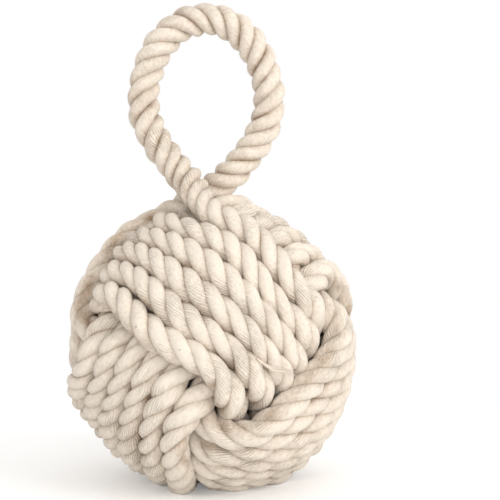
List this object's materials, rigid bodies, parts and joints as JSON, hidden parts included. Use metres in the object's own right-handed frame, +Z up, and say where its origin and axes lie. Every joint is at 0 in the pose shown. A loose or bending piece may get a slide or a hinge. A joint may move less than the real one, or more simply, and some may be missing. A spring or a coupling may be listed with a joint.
{
  "type": "rope knot doorstop",
  "caption": "Monkey's fist knot of thick cotton rope around a heavy core, with a rope loop handle, to hold a door open.",
  "frame": {"origin": "on the floor under the middle of the knot's outline", "axes": "+Z up along the knot and its handle loop, +X across the handle loop, and the front face of the knot looks along -Y"},
  "size_m": [0.1492, 0.1564, 0.251],
  "materials": {
    "rope": "natural cream cotton rope, three strands laid right-handed, matt",
    "handle_rope": "the same cotton rope, free of the knot's pressure, matt",
    "core": "cast cement ball, rough grey"
  },
  "bodies": {
    "knot": {"first_set_turn_1": "rope", "first_set_turn_2": "rope", "first_set_turn_3": "rope", "first_set_turn_4": "rope", "first_set_turn_5": "rope", "first_set_turn_6": "rope", "second_set_turn_1": "rope", "second_set_turn_2": "rope", "second_set_turn_3": "rope", "second_set_turn_4": "rope", "second_set_turn_5": "rope", "second_set_turn_6": "rope", "third_set_turn_1": "rope", "third_set_turn_2": "rope", "third_set_turn_3": "rope", "third_set_turn_4": "rope", "third_set_turn_5": "rope", "third_set_turn_6": "rope", "first_set_tail": "rope", "third_set_tail": "rope", "core_weight": "core"},
    "handle": {"handle_loop": "handle_rope"}
  },
  "joints": [
    {"name": "handle_lean", "type": "hinge", "parent": "knot", "child": "handle", "pos_m": [-0.00357, 0, 0.16586], "axis": [1, 0, 0], "range_deg": [-45, 45], "stiffness_Nm_per_rad": 0.12}
  ]
}
